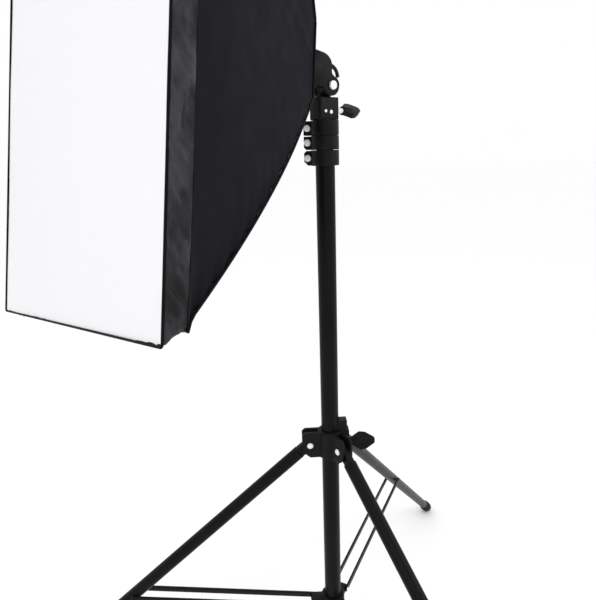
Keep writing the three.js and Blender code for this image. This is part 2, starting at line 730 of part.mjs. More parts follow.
const softboxOnStand = new THREE.Group();
const onColumn = new THREE.Group();
onColumn.position.set(COLUMN_X, COLUMN_Y, 0);
onColumn.add(column());
onColumn.add(legs());
onColumn.add(head());
softboxOnStand.add(onColumn);

export default softboxOnStand;
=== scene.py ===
"""Looks for a studio softbox on a folding light stand.

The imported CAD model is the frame. Rigid parts become bevelled copies of their CAD
nodes, tubes and fabric are rebuilt from named dimensions, and every piece rides on
the CAD body that it belongs to. Lengths are in metres.
"""

import json
import math

import bmesh
import bpy
from mathutils import Matrix, Vector, noise


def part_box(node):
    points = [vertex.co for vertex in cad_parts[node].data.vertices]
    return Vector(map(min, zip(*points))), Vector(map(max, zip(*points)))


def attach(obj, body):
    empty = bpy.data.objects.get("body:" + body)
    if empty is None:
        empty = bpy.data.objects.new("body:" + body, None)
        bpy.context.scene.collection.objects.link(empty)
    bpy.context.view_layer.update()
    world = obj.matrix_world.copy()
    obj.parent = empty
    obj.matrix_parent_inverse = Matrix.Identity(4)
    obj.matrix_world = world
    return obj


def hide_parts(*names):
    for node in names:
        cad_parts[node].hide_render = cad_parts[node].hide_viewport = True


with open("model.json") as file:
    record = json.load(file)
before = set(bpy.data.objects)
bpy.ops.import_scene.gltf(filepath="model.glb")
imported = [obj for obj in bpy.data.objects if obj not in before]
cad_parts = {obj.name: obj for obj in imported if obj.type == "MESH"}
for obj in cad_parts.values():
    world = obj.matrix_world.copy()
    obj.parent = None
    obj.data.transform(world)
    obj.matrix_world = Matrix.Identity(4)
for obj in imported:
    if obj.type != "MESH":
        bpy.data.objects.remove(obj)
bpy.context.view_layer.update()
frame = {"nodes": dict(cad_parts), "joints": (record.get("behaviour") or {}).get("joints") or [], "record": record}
JOINTS = {j["name"]: j for j in frame["joints"]}

# ---------------------------------------------------------------- dimensions

HALF_W = 0.200                  # half the width and height of the box, at its front
HALF_H = 0.300
FRONT = 0.309                   # depths run forward along the lamp axis, from the ring's pivot
BAND_DEPTH = 0.019
REAR = 0.044                    # where the cloth starts
ROLL = math.radians(8)          # of the box, about the lamp axis
# Control points of a curve from the ring to a corner: depth, and distance from the lamp axis.
SEAM = ((0.024, 0.024), (0.151, 0.208), (0.290, 0.3606))
ROD = ((0.047, 0.030), (0.146, 0.204), (0.299, 0.343))
ROD_RADIUS = 0.002
CORNERS = ((1, 1), (-1, 1), (-1, -1), (1, -1))

CLOTH = 0.0006                  # thickness
UNDER = 0.0006                  # how far cloth and tape keep inside the CAD's outline
SIDE_TUCK = Vector((0.008, 0, 0.012))   # how far the seams pull in behind the front corners
BAND_TUCK = Vector((0.003, 0, 0.010))   # the same for the back edge of the band
TUCK_REACH = 0.10                       # measured round the frame from each corner
TUCK_START = 0.25                       # places along a seam, from 0 at the rear to 1
FLARE_START = 0.97
SAG = 0.007                     # how far the middle of a side draws in
PUCKER = 0.0011                 # heights of the cloth's unevenness: along the seams,
RIPPLE = 0.0012                 # over the whole side,
GATHER = 0.0016                 # and where the side meets the band
CREASE = 0.0062                 # the same for the band
PLEAT = 0.0020
DOME = 0.0012                   # of the diffuser

TUBE_WALL = 0.0012
TUBE_LIP = 0.0003
LEG_RADIUS = 0.00925
LEG_START = 0.0243              # from the leg's hinge to the upper end of its tube
THREAD_PITCH = 0.0008
THREAD_DEPTH = 0.00022


def centre(node):
    low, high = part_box(node)
    return (Vector(low) + Vector(high)) / 2


def size(node):
    low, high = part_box(node)
    return Vector(high) - Vector(low)


def axes_matrix(x_axis, y_axis, z_axis, origin):
    m = Matrix((x_axis, y_axis, z_axis)).transposed().to_4x4()
    m.translation = origin
    return m


AXIS = centre("base_tube")
AXIS.z = 0.0
LAMP = Vector(JOINTS["softbox_turn"]["pos_m"])
FORWARD = Vector(JOINTS["softbox_turn"]["axis"]).normalized()
UP = Vector((0, -FORWARD.z * FORWARD.y, 1 - FORWARD.z ** 2)).normalized()


def box_matrix(roll=ROLL):
    """From the box's own axes (X wide, -Y forward, Z tall) to the model's."""
    wide = math.cos(roll) * Vector((1, 0, 0)) + math.sin(roll) * UP
    tall = -math.sin(roll) * Vector((1, 0, 0)) + math.cos(roll) * UP
    return axes_matrix(wide, -FORWARD, tall, LAMP)


BOX = box_matrix()
HOLDER = box_matrix(0)

# -------------------------------------------------------------------- camera

CAMERA_FROM_COLUMN = Vector((0.5442, -0.4898, 0.9334))
CAMERA_AZIMUTH = math.radians(141.183)
CAMERA_PITCH = math.radians(15.065)
CAMERA_ROLL = math.radians(-1.867)
CAMERA_LENS = 33.274


def make_camera():
    look = Vector((math.cos(CAMERA_AZIMUTH) * math.cos(CAMERA_PITCH),
                   math.sin(CAMERA_AZIMUTH) * math.cos(CAMERA_PITCH),
                   -math.sin(CAMERA_PITCH)))
    right = look.cross(Vector((0, 0, 1))).normalized()
    top = right.cross(look)
    right_r = math.cos(CAMERA_ROLL) * right + math.sin(CAMERA_ROLL) * top
    top_r = -math.sin(CAMERA_ROLL) * right + math.cos(CAMERA_ROLL) * top
    data = bpy.data.cameras.new("camera")
    data.sensor_fit = "VERTICAL"
    data.sensor_height = 36
    data.lens = CAMERA_LENS
    data.clip_start = 0.01
    camera = bpy.data.objects.new("camera", data)
    bpy.context.scene.collection.objects.link(camera)
    camera.matrix_world = axes_matrix(right_r, top_r, -look, AXIS + CAMERA_FROM_COLUMN)
    bpy.context.scene.camera = camera


make_camera()

# ----------------------------------------------------------------- materials


class Look:
    """A Principled material with short helpers for its nodes."""

    def __init__(self, name, color, rough, metal=0.0, **extra):
        self.material = bpy.data.materials.new(name)
        self.material.use_nodes = True
        self.tree = self.material.node_tree
        self.shader = self.tree.nodes["Principled BSDF"]
        self.set("Base Color", (*color, 1))
        self.set("Roughness", rough)
        self.set("Metallic", metal)
        for key, value in extra.items():
            self.set(key.replace("_", " "), value)
        self.coords = self.node("ShaderNodeTexCoord").outputs["Object"]

    def set(self, socket, value):
        self.shader.inputs[socket].default_value = value

    def node(self, kind, **values):
        n = self.tree.nodes.new(kind)
        for key, value in values.items():
            if key in n.inputs:
                n.inputs[key].default_value = value
            else:
                setattr(n, key, value)
        return n

    def link(self, out, into):
        self.tree.links.new(out, into)

    def noise(self, scale, detail=3.0, stretch=None):
        n = self.node("ShaderNodeTexNoise", Scale=scale, Detail=detail)
        self.link(self.stretched(stretch), n.inputs["Vector"])
        return n.outputs["Fac"]

    def stretched(self, stretch):
        if stretch is None:
            return self.coords
        m = self.node("ShaderNodeMapping", Scale=stretch)
        self.link(self.coords, m.inputs["Vector"])
        return m.outputs["Vector"]

    def wave(self, scale, direction, distortion=0.0):
        n = self.node("ShaderNodeTexWave", Scale=scale, Distortion=distortion)
        n.bands_direction = direction
        self.link(self.coords, n.inputs["Vector"])
        return n.outputs["Fac"]

    def ramp(self, source, stops):
        n = self.node("ShaderNodeValToRGB")
        ramp = n.color_ramp
        while len(ramp.elements) < len(stops):
            ramp.elements.new(0.5)
        for element, (place, color) in zip(ramp.elements, stops):
            element.position = place
            element.color = (*color, 1)
        self.link(source, n.inputs["Fac"])
        return n.outputs["Color"]

    def roughness(self, source, low, high):
        n = self.node("ShaderNodeMapRange")
        n.inputs["To Min"].default_value = low
        n.inputs["To Max"].default_value = high
        self.link(source, n.inputs["Value"])
        self.link(n.outputs["Result"], self.shader.inputs["Roughness"])

    def color(self, source, stops):
        self.link(self.ramp(source, stops), self.shader.inputs["Base Color"])

    def multiply(self, a, b):
        n = self.node("ShaderNodeMath", operation="MULTIPLY")
        self.link(a, n.inputs[0])
        self.link(b, n.inputs[1])
        return n.outputs[0]

    def bump(self, *layers):
        """Stacks layers of (height socket, distance, strength) and gives the finished material."""
        normal = None
        for height, distance, strength in layers:
            n = self.node("ShaderNodeBump", Distance=distance, Strength=strength)
            self.link(height, n.inputs["Height"])
            if normal is not None:
                self.link(normal, n.inputs["Normal"])
            normal = n.outputs["Normal"]
        self.link(normal, self.shader.inputs["Normal"])
        return self.material


def powder_coat():
    look = Look("black_powder_coat", (0.005, 0.005, 0.0055), 0.34, IOR=1.3,
                Specular_IOR_Level=0.2)
    look.roughness(look.noise(60, 4, (1, 1, 0.1)), 0.26, 0.42)
    look.color(look.noise(12, 2), [(0.3, (0.0032, 0.0032, 0.0035)), (0.7, (0.0058, 0.0056, 0.0058))])
    return look.bump((look.noise(1800, 2), 0.00012, 0.35))


def moulded_plastic():
    look = Look("black_moulded_plastic", (0.006, 0.0063, 0.0065), 0.45, IOR=1.3,
                Specular_IOR_Level=0.25)
    look.roughness(look.noise(90, 3), 0.38, 0.58)
    look.color(look.noise(30, 3), [(0.3, (0.0042, 0.0045, 0.0046)), (0.75, (0.0085, 0.0090, 0.0090))])
    return look.bump((look.noise(2400, 2), 0.0001, 0.5), (look.noise(160, 2), 0.0003, 0.15))


def painted_steel():
    look = Look("black_painted_steel", (0.006, 0.006, 0.0065), 0.3, IOR=1.3,
                Specular_IOR_Level=0.3)
    look.roughness(look.noise(70, 3), 0.24, 0.4)
    look.color(look.noise(25, 3), [(0.35, (0.0045, 0.0045, 0.0048)), (0.8, (0.0085, 0.0085, 0.0090))])
    return look.bump((look.noise(900, 2), 0.00015, 0.3))


def zinc_plate():
    look = Look("bright_zinc", (0.90, 0.90, 0.91), 0.36, 0.08)
    look.roughness(look.noise(220, 4), 0.28, 0.46)
    look.color(look.noise(90, 3), [(0.3, (0.84, 0.845, 0.85)), (0.7, (0.94, 0.94, 0.945))])
    return look.bump((look.noise(1500, 3), 0.00005, 0.3))


def tube_chrome():
    look = Look("tube_chrome", (0.46, 0.47, 0.49), 0.16, 1.0)
    look.roughness(look.noise(160, 4, (1, 1, 0.06)), 0.1, 0.26)
    return look.bump((look.noise(900, 3, (1, 1, 0.05)), 0.00004, 0.3))


def foot_rubber():
    look = Look("grey_black_rubber", (0.018, 0.018, 0.019), 0.8, IOR=1.35,
                Specular_IOR_Level=0.25)
    look.roughness(look.noise(60, 3), 0.7, 0.92)
    look.color(look.noise(18, 4), [(0.3, (0.013, 0.013, 0.0135)), (0.75, (0.028, 0.0275, 0.027))])
    return look.bump((look.noise(700, 4), 0.0003, 0.5))


def weave(look, threads):
    """Height of a plain weave: two crossed sets of waves at this scale."""
    return look.multiply(look.wave(threads, "X"), look.wave(threads, "Z"))


def black_nylon():
    look = Look("black_nylon", (0.0030, 0.0026, 0.0058), 0.62, IOR=1.14,
                Specular_IOR_Level=0.3)
    look.color(look.noise(7, 4), [(0.25, (0.0034, 0.0029, 0.0054)), (0.8, (0.0062, 0.0055, 0.0096))])
    look.roughness(look.noise(40, 3), 0.55, 0.72)
    return look.bump((weave(look, 520), 0.0002, 0.35), (look.noise(22, 4), 0.0012, 0.16))


def band_nylon():
    look = Look("band_nylon", (0.018, 0.017, 0.023), 0.42, IOR=1.35,
                Specular_IOR_Level=0.45)
    crumple_and_painted_shade = look.noise(52, 5, (1, 1, 0.5))
    # The crumple noise also paints light and shade into the colour: near black in its hollows as painted crease
    # shade, lighter on its ridges as painted highlight.
    look.color(crumple_and_painted_shade, [(0.40, (0.0025, 0.0025, 0.0034)), (0.5, (0.011, 0.0107, 0.0138)),
                         (0.61, (0.033, 0.0318, 0.040))])
    look.roughness(look.noise(50, 3), 0.45, 0.68)
    return look.bump((weave(look, 520), 0.0002, 0.3), (crumple_and_painted_shade, 0.004, 0.6))


def silver_lining():
    look = Look("silver_lining", (0.72, 0.73, 0.75), 0.32, 0.85)
    look.roughness(look.noise(30, 4), 0.24, 0.45)
    return look.bump((look.noise(120, 4), 0.0008, 0.4))


def white_diffuser():
    look = Look("white_diffuser", (0.86, 0.863, 0.885), 0.75, Specular_IOR_Level=0.2)
    look.color(look.noise(3.5, 3), [(0.25, (0.840, 0.843, 0.865)), (0.75, (0.870, 0.873, 0.895))])
    look.roughness(look.noise(30, 3), 0.66, 0.84)
    return look.bump((weave(look, 640), 0.00015, 0.25), (look.noise(14, 3), 0.0008, 0.1))


def binding_tape():
    look = Look("black_binding", (0.004, 0.004, 0.0045), 0.6, IOR=1.2,
                Specular_IOR_Level=0.3)
    look.roughness(look.noise(80, 3), 0.5, 0.7)
    look.color(look.noise(40, 3), [(0.3, (0.0025, 0.0025, 0.0028)), (0.8, (0.0055, 0.0055, 0.0060))])
    return look.bump((look.wave(420, "DIAGONAL"), 0.0002, 0.4))


def sprung_steel():
    look = Look("sprung_steel", (0.32, 0.32, 0.33), 0.3, 0.9)
    look.roughness(look.noise(90, 3), 0.22, 0.42)
    return look.bump((look.noise(700, 2), 0.00008, 0.3))


def glazed_ceramic():
    look = Look("glazed_ceramic", (0.78, 0.77, 0.73), 0.2, Coat_Weight=0.4)
    look.color(look.noise(60, 3), [(0.3, (0.74, 0.73, 0.69)), (0.8, (0.81, 0.80, 0.77))])
    return look.bump((look.noise(300, 3), 0.0001, 0.2))


def lamp_tube():
    look = Look("lamp_tube", (0.88, 0.88, 0.86), 0.18, Coat_Weight=0.3)
    look.color(look.noise(50, 3), [(0.3, (0.85, 0.85, 0.83)), (0.8, (0.90, 0.90, 0.89))])
    return look.bump((look.noise(200, 2), 0.00005, 0.2))


POWDER = powder_coat()
PLASTIC = moulded_plastic()
STEEL = painted_steel()
ZINC = zinc_plate()
CHROME = tube_chrome()
RUBBER = foot_rubber()
NYLON = black_nylon()
BAND = band_nylon()
SILVER = silver_lining()
DIFFUSER = white_diffuser()
BINDING = binding_tape()
SPRUNG = sprung_steel()
CERAMIC = glazed_ceramic()
GLASS = lamp_tube()

# --------------------------------------------------------------- mesh helpers


def new_object(name, verts, faces, *materials):
    mesh = bpy.data.meshes.new(name)
    mesh.from_pydata([tuple(v) for v in verts], [], faces)
    mesh.validate()
    obj = bpy.data.objects.new(name, mesh)
    bpy.context.scene.collection.objects.link(obj)
    for material in materials:
        mesh.materials.append(material)
    return obj


def recalculate_normals(obj):
    bm = bmesh.new()
    bm.from_mesh(obj.data)
    bmesh.ops.recalc_face_normals(bm, faces=bm.faces)
    bm.to_mesh(obj.data)
    bm.free()


def smooth(obj, degrees=38):
    obj.data.shade_smooth()
    obj.data.set_sharp_from_angle(angle=math.radians(degrees))


def apply_modifiers(obj):
    graph = bpy.context.evaluated_depsgraph_get()
    mesh = bpy.data.meshes.new_from_object(obj.evaluated_get(graph))
    obj.modifiers.clear()
    old = obj.data
    obj.data = mesh
    bpy.data.meshes.remove(old)


def bevel(obj, width, segments=2, degrees=38):
    m = obj.modifiers.new("edges", "BEVEL")
    m.width = width
    m.segments = segments
    m.limit_method = "ANGLE"
    m.angle_limit = math.radians(degrees)
    apply_modifiers(obj)


def body_of(node):
    for body, nodes in frame["record"]["behaviour"]["bodies"].items():
        if node in nodes:
            return body
    raise ValueError(node)


def added(obj, body):
    """The piece is extra: it rides on this body and hides nothing."""
    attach(obj, body)


def stand_for(obj, node):
    """The piece rides where the CAD node rides, and hides it."""
    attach(obj, body_of(node))
    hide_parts(node)


def refined(node, material, width=0.0005):
    """A copy of a CAD node with its flat faces merged and its edges rounded."""
    source = frame["nodes"][node]
    bm = bmesh.new()
    bm.from_mesh(source.data)
    bmesh.ops.remove_doubles(bm, verts=bm.verts, dist=2e-6)
    bmesh.ops.dissolve_limit(bm, angle_limit=math.radians(1), verts=bm.verts, edges=bm.edges)
    bmesh.ops.recalc_face_normals(bm, faces=bm.faces)
    mesh = bpy.data.meshes.new(node + "_shape")
    bm.to_mesh(mesh)
    bm.free()
    mesh.materials.clear()
    mesh.materials.append(material)
    obj = bpy.data.objects.new(node + "_shape", mesh)
    bpy.context.scene.collection.objects.link(obj)
    bevel(obj, width)
    smooth(obj)
    stand_for(obj, node)


def grid_faces(rows, columns):
    """Faces between points that are listed row by row."""
    faces = []
    row = columns + 1
    for i in range(rows):
        for j in range(columns):
            a = i * row + j
            faces.append((a, a + 1, a + row + 1, a + row))
    return faces


def ring_faces(rings, count, closed=False):
    """Faces between rings of this many points; a closed run joins its last ring to its first."""
    faces = []
    for i in range(rings if closed else rings - 1):
        here = i * count
        after = (i + 1) % rings * count
        for j in range(count):
            k = (j + 1) % count
            faces.append((here + j, here + k, after + k, after + j))
    return faces


def lathe(profile, sides=64):
    """Verts and faces of a body turned about Z, from points of (radius, height).

    A profile that leaves and meets the axis closes there, and any other one closes on itself.
    """
    verts = []
    rings = []
    for r, z in profile:
        if r < 1e-7:
            rings.append([len(verts)])
            verts.append(Vector((0, 0, z)))
            continue
        rings.append(list(range(len(verts), len(verts) + sides)))
        for k in range(sides):
            a = 2 * math.pi * k / sides
            verts.append(Vector((r * math.cos(a), r * math.sin(a), z)))
    faces = []
    closed = len(rings[0]) > 1
    pairs = list(zip(rings, rings[1:])) + ([(rings[-1], rings[0])] if closed else [])
    for low, high in pairs:
        for k in range(sides):
            j = (k + 1) % sides
            if len(low) == 1:
                faces.append((low[0], high[k], high[j]))
            elif len(high) == 1:
                faces.append((low[k], low[j], high[0]))
            else:
                faces.append((low[k], low[j], high[j], high[k]))
    return verts, faces


def turned(name, profile, matrix, material, sides=64):
    verts, faces = lathe(profile, sides)
    obj = new_object(name, [matrix @ v for v in verts], faces, material)
    recalculate_normals(obj)
    smooth(obj)
    return obj


def swept(name, path, radius, material, sides=12, closed=False):
    """A round rod of this radius along a list of points, with flat ends."""
    count = len(path)
    verts = []
    side = None
    for i, p in enumerate(path):
        before = path[i - 1] if i or closed else path[i]
        after = path[(i + 1) % count] if i + 1 < count or closed else path[i]
        ahead = (after - before).normalized()
        if side is None:
            side = ahead.orthogonal().normalized()
        side = (side - ahead * side.dot(ahead)).normalized()
        over = ahead.cross(side)
        for k in range(sides):
            a = 2 * math.pi * k / sides
            verts.append(p + radius * (math.cos(a) * side + math.sin(a) * over))
    faces = ring_faces(count, sides, closed)
    if not closed:
        faces.append(tuple(range(sides)))
        faces.append(tuple((count - 1) * sides + k for k in range(sides)))
    obj = new_object(name, verts, faces, material)
    recalculate_normals(obj)
    smooth(obj, 60)
    return obj


# ---------------------------------------------------------------------- stand


def tube_profile(radius, low, high):
    """The section of a tube's wall, with its outer edges broken."""
    inner = radius - TUBE_WALL
    return [(inner, low), (radius - TUBE_LIP, low), (radius, low + TUBE_LIP),
            (radius, high - TUBE_LIP), (radius - TUBE_LIP, high), (inner, high)]


def column_tube(node, material):
    low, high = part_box(node)
    profile = tube_profile(size(node).x / 2, low[2], high[2])
    obj = turned(node + "_shape", profile, Matrix.Translation(AXIS), material)
    stand_for(obj, node)


def leg_tube(k):
    node = f"leg_tube_{k}"
    joint = JOINTS[f"leg_{k}_fold"]
    pivot = Vector(joint["pos_m"])
    to_middle = centre(node) - pivot
    end = 2 * to_middle.length - LEG_START
    z_axis = -to_middle.normalized()
    y_axis = Vector(joint["axis"]).normalized()
    m = axes_matrix(y_axis.cross(z_axis), y_axis, z_axis, pivot)
    obj = turned(node + "_shape", tube_profile(LEG_RADIUS, -end, -LEG_START), m, POWDER, 56)
    stand_for(obj, node)


def along_joint(name):
    """A frame at a joint, with Z along its axis."""
    joint = JOINTS[name]
    m = Vector(joint["axis"]).to_track_quat("Z", "Y").to_matrix().to_4x4()
    m.translation = Vector(joint["pos_m"])
    return m


def screw_head(k):
    """A bright domed head over the end of a collar's clamp screw."""
    seat = -0.00825              # the face of the collar's lug, along the knob's axis
    dome = [(0, 0), (0.00435, 0), (0.00435, 0.0019), (0.0041, 0.0025), (0.0035, 0.0029),
            (0.0024, 0.0032), (0, 0.0034)]
    profile = [(radius, seat - rise) for radius, rise in dome]
    place = along_joint(f"collar_knob_{k}_turn")
    added(turned(f"collar_screw_head_{k}", profile, place, ZINC, 32), f"collar_knob_{k}")


def bright_screw(knob, start, end, radius):
    """The bare thread between a knob and the part that it clamps."""
    steps = 2 * max(2, round((end - start) / THREAD_PITCH))
    profile = [(0, start)]
    for i in range(steps + 1):
        profile.append((radius - THREAD_DEPTH * (i % 2), start + (end - start) * i / steps))
    profile.append((0, end))
    added(turned(f"{knob}_screw", profile, along_joint(f"{knob}_turn"), ZINC, 32), knob)


def stand():
    for node in ("base_tube", "tube_2", "tube_3"):
        column_tube(node, POWDER)
    column_tube("top_tube", CHROME)
    refined("spigot", CHROME, 0.0003)
    for node in ("base_plug", "collar_1", "collar_2", "collar_3", "shoulder", "brace_ring"):
        refined(node, PLASTIC, 0.0007)
    refined("shoulder_knob", PLASTIC, 0.0008)
    bright_screw("shoulder_knob", -0.0028, -0.0002, 0.0033)
    for k in (1, 2, 3):
        refined(f"collar_knob_{k}", PLASTIC, 0.0006)
        screw_head(k)
        leg_tube(k)
        refined(f"leg_fitting_{k}", PLASTIC, 0.0006)
        refined(f"foot_{k}", RUBBER, 0.0006)
        for node in (f"leg_rivet_{k}", f"ring_pin_{k}", f"brace_pin_{k}"):
            refined(node, ZINC, 0.0003)
        for letter in "ab":
            refined(f"brace_{k}{letter}", STEEL, 0.0004)


# ----------------------------------------------------------------------- head


def block_screws():
    """Two bright screw ends in the side of the socket block, below the tilt hinge."""
    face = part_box("stand_socket")[1][0]
    sideways = Matrix.Rotation(math.radians(90), 4, "Y")
    sunk = -0.001
    top = 0.0013
    screws = ((-0.0075, 0.9795, 0.0019), (0.0015, 0.9785, 0.0024))
    for n, (across, height, radius) in enumerate(screws, 1):
        place = Matrix.Translation((face, AXIS.y + across, height)) @ sideways
        profile = [(0, sunk), (radius, sunk), (radius, 0.0006), (radius * 0.8, 0.0011),
                   (radius * 0.45, top), (0, top)]
        added(turned(f"block_screw_{n}", profile, place, ZINC, 28), "swivel")


def head():
    block_screws()
    for node in ("stand_socket", "lamp_holder_body"):
        refined(node, PLASTIC, 0.001)
    for node in ("socket_knob", "tilt_knob"):
        refined(node, PLASTIC, 0.0008)
    bright_screw("socket_knob", -0.0157, -0.0002, 0.00325)
    refined("tilt_bolt", ZINC, 0.0008)
    refined("cable_gland", RUBBER, 0.0004)
    refined("lamp_socket", CERAMIC, 0.0006)
    refined("speed_ring", STEEL, 0.0006)


def cap_profile():
    """The lamp's screw cap: a contact, six turns of rounded thread and a rim."""
    steps = 6 * 4
    ridge = 0.0129
    thread_start = 0.056
    thread_length = 0.0236
    rim = 0.0805
    profile = [(0, 0.052), (0.008, 0.052), (0.0105, 0.0545)]
    for i in range(steps + 1):
        radius = ridge - 0.0007 * (i % 4 == 2) - 0.0003 * (i % 2 == 1)
        profile.append((radius, thread_start + thread_length * i / steps))
    return profile + [(ridge, rim), (0, rim)]


def coil_path(spin):
    """A rising coil whose two ends turn in towards the middle."""
    steps = 240
    turns = 4.5
    foot = 0.1305
    rise = 0.095
    coil_radius = 0.026
    path = []
    for i in range(steps + 1):
        s = i / steps
        a = 2 * math.pi * turns * s
        r = coil_radius * min(1, 0.35 + 6 * s, 0.35 + 6 * (1 - s))
        path.append(spin @ Vector((r * math.cos(a), r * math.sin(a), foot + rise * s)))
    return path


def lamp():
    """A coiled fluorescent tube on its ballast and screw cap."""
    spin = HOLDER @ Matrix.Rotation(math.radians(90), 4, "X")
    cap = turned("bulb_cap", cap_profile(), spin, ZINC)
    housing = [(0, 0.0808), (0.0165, 0.0808), (0.017, 0.085), (0.0245, 0.0915), (0.0275, 0.100),
               (0.0278, 0.106), (0.0262, 0.121), (0.0245, 0.1245), (0, 0.1255)]
    ballast = turned("bulb_ballast", housing, spin, CERAMIC)
    coil = swept("bulb_coil", coil_path(spin), 0.0058, GLASS, 14)
    stand_for(coil, "bulb")
    added(cap, "head")
    added(ballast, "head")


# ---------------------------------------------------------------- fabric box

CORNER = math.hypot(HALF_W, HALF_H)


def bezier(controls, u):
    a, b, c = controls
    return tuple((1 - u) ** 2 * a[i] + 2 * u * (1 - u) * b[i] + u * u * c[i] for i in (0, 1))


def seam_start():
    """Where along the seam's curve the cloth starts."""
    u = 0.0
    while bezier(SEAM, u)[0] < REAR:
        u += 0.001
    return u


START = seam_start()


def seam(u):
    """Depth, and the box's scale there, at u from the rear to the front."""
    depth, radius = bezier(SEAM, START + (1 - START) * u)
    return depth, radius / CORNER


def fold(x, y, z):
    """A soft uneven height, from -1 to 1, that is always the same at the same place."""
    return noise.noise(Vector((x, y, z)))


def tucked(p, k, amount):
    """How a point near a corner is pulled in, where the box has scale k."""
    away = k * HALF_W - abs(p.x) + k * HALF_H - abs(p.z)
    near = max(0, 1 - max(0, away) / TUCK_REACH) ** 1.5
    return Vector((-math.copysign(amount.x * near, p.x), 0, -math.copysign(amount.z * near, p.z)))


def seam_tuck(u):
    """The seams run close over the rods, then flare out to the corners of the band."""
    pull = max(0, (u - TUCK_START) / (1 - TUCK_START)) ** 1.5
    flare = max(0, (u - FLARE_START) / (1 - FLARE_START))
    return SIDE_TUCK * pull * (1 - flare) + BAND_TUCK * flare


def panel(name, upright, sign):
    """One side of the box: flat between its seams, pulled in a little, puckered along them."""
    along = 64
    across = 72
    verts = []
    for i in range(along + 1):
        u = i / along
        depth, k = seam(u)
        out = (HALF_W if upright else HALF_H) * k
        half = (HALF_H if upright else HALF_W) * k
        for j in range(across + 1):
            v = 2 * j / across - 1
            sag = SAG * (1 - v * v) * math.sin(math.pi * u) ** 0.8
            near_seam = math.exp(-(1 - abs(v)) * 14)
            near_front = math.exp(-(1 - u) * 22)
            pucker = PUCKER * near_seam * math.sin(u * 70 + 2.5 * fold(3 * u, 3 * v, 3 * sign))
            ripple = RIPPLE * fold(u * 2.2, v * 7, 3 * sign + upright) * (1 - v ** 4)
            gather = GATHER * near_front * fold(v * 16, u * 3, sign) * (1 - v ** 8)
            uneven = (pucker + ripple + gather) * min(1, 12 * u)
            o = sign * (out - sag - UNDER + uneven)
            w = v * (half - 0.0004)
            local = Vector((o, -depth, w)) if upright else Vector((w, -depth, o))
            verts.append(BOX @ (local + tucked(local, k, seam_tuck(u))))
    obj = new_object(name + "_cloth", verts, grid_faces(along, across), NYLON, SILVER)
    turn_outward(obj)
    thicken(obj)
    smooth(obj, 60)
    stand_for(obj, name)
    cloth_area(obj)


def cloth_area(obj):
    """Half of the closed shell's area: one face of the cloth."""
    bm = bmesh.new()
    bm.from_mesh(obj.data)
    total = sum(f.calc_area() for f in bm.faces) / 2
    bm.free()
    return total


def turn_outward(obj):
    """Faces an open sheet away from the lamp axis."""
    mesh = obj.data
    middle = mesh.polygons[len(mesh.polygons) // 2]
    if middle.normal.dot(middle.center - (LAMP + 0.2 * FORWARD)) < 0:
        mesh.flip_normals()


def thicken(obj, thickness=CLOTH):
    m = obj.modifiers.new("cloth", "SOLIDIFY")
    m.thickness = thickness
    m.offset = -1
    m.material_offset = 1
    m.material_offset_rim = 0
    apply_modifiers(obj)


def outline(half_w, half_h, corner, step):
    """Points round a rectangle with rounded corners, about a step apart."""
    points = []
    pieces_per_corner = 6
    for cx, cz, a0 in ((1, -1, -90), (1, 1, 0), (-1, 1, 90), (-1, -1, 180)):
        for k in range(pieces_per_corner + 1):
            a = math.radians(a0 + 90 * k / pieces_per_corner)
            points.append(Vector((cx * (half_w - corner) + corner * math.cos(a), 0,
                                  cz * (half_h - corner) + corner * math.sin(a))))
    dense = []
    for p, q in zip(points, points[1:] + points[:1]):
        pieces = max(1, round((q - p).length / step))
        dense += [p.lerp(q, i / pieces) for i in range(pieces)]
    return dense


def facing(p):
    """The way out of the box at a point on its front edge."""
    x = p.x if abs(p.x) > HALF_W - 0.003 else 0
    z = p.z if abs(p.z) > HALF_H - 0.003 else 0
    out = Vector((x / HALF_W, 0, z / HALF_H))
    return out.normalized() if out.length else out


def band_push(p, t):
    """How far the loose band stands out at p, with t running from its back edge to its front."""
    # Creases run slantwise across the band, close together and uneven.
    along = p.x + p.z
    slack = 0.8 + 0.6 * fold(p.x * 9, 7.0, p.z * 9)
    crease = fold(along * 30 + 1.6 * t, t * 1.3, p.z * 14)
    pleat = 1 - 5 * abs(fold(along * 80 - 2.2 * t, 3.0 + t, p.x * 30))
    return math.sin(math.pi * t) ** 0.7 * slack * (CREASE * crease + PLEAT * pleat + 0.0003)


def edge_band():
    """The nylon lip round the front, a little loose and creased."""
    ring = outline(HALF_W - UNDER, HALF_H - UNDER, 0.004, 0.0028)
    rows = 12
    verts = []
    back = FRONT - BAND_DEPTH + 0.0003
    for i in range(rows + 1):
        t = i / rows
        depth = back + t * (FRONT - back)
        for p in ring:
            inward = tucked(p, 1, BAND_TUCK * (1 - t))
            push = max(band_push(p, t), -0.0008)
            verts.append(BOX @ (p + inward + facing(p) * push + Vector((0, -depth, 0))))
    faces = ring_faces(rows + 1, len(ring))
    obj = new_object("front_band_cloth", verts, faces, BAND, BINDING)
    turn_outward(obj)
    thicken(obj)
    smooth(obj, 70)
    stand_for(obj, "front_band")


def diffuser():
    """White cloth, tight at its edge and barely domed."""
    nx = 60
    nz = 90
    half_w = HALF_W - 0.0016
    half_h = HALF_H - 0.0010
    depth = 0.3078
    verts = []
    for i in range(nz + 1):
        z = half_h * (2 * i / nz - 1)
        for j in range(nx + 1):
            x = half_w * (2 * j / nx - 1)
            dome = DOME * (1 - (x / half_w) ** 2) * (1 - (z / half_h) ** 2)
            ripple = 0.0005 * fold(x * 9, 1.0, z * 9)
            verts.append(BOX @ Vector((x, -(depth + dome + ripple), z)))
    obj = new_object("front_diffuser_cloth", verts, grid_faces(nz, nx), DIFFUSER)
    mesh = obj.data
    if mesh.polygons[0].normal.dot(FORWARD) < 0:
        mesh.flip_normals()
    thicken(obj)
    smooth(obj, 60)
    stand_for(obj, "front_diffuser")


